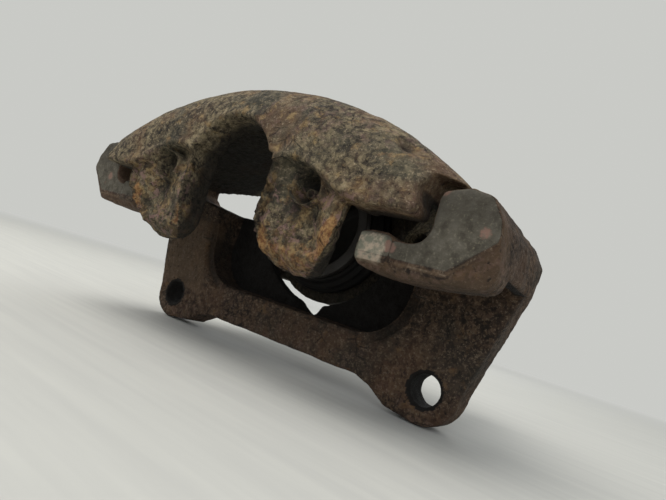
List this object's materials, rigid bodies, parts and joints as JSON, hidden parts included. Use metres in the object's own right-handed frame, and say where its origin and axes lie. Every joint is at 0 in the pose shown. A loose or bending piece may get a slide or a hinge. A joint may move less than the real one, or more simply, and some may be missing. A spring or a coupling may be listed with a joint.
{
  "type": "brake caliper",
  "caption": "Single-piston floating disc brake caliper with its carrier, guide pins, dust boot and bleed screw; used, rusted cast iron.",
  "frame": {"origin": "midway between the two knuckle bolt holes, on the carrier's mounting plane", "axes": "+X along the disc's edge, +Y inboard along the piston axis, +Z radially outwards from the disc's centre"},
  "size_m": [0.211, 0.14, 0.1331],
  "materials": {
    "cast_iron_bracket": "rusted",
    "cast_iron_housing": "rusted",
    "piston_steel": "stained",
    "pin_steel": "satin",
    "bleed_steel": "worn",
    "rubber": "matte",
    "cap_plastic": "matte"
  },
  "bodies": {
    "carrier": {"carrier": "cast_iron_bracket", "guide_pin_left": "pin_steel", "guide_pin_right": "pin_steel"},
    "housing": {"housing": "cast_iron_housing", "piston_seal": "rubber", "dust_boot": "rubber", "guide_bush_left": "rubber", "guide_bush_right": "rubber", "pin_cap_left": "cap_plastic", "pin_cap_right": "cap_plastic"},
    "piston": {"piston": "piston_steel"},
    "bleed_screw": {"bleed_screw": "bleed_steel"},
    "bleed_cap": {"bleed_cap": "rubber"}
  },
  "joints": [
    {"name": "housing_slide", "type": "slide", "parent": "carrier", "child": "housing", "axis": [0, 1, 0], "range_m": [-0.003, 0.01]},
    {"name": "piston_slide", "type": "slide", "parent": "housing", "child": "piston", "axis": [0, -1, 0], "range_m": [-0.007, 0.012]},
    {"name": "bleed_screw_turn", "type": "hinge", "parent": "housing", "child": "bleed_screw", "pos_m": [0.014, 0.047, 0.097], "axis": [0, 0, 1], "range_deg": [0, 360]},
    {"name": "bleed_cap_pull", "type": "slide", "parent": "bleed_screw", "child": "bleed_cap", "axis": [0, 0, 1], "range_m": [0, 0.014]}
  ]
}
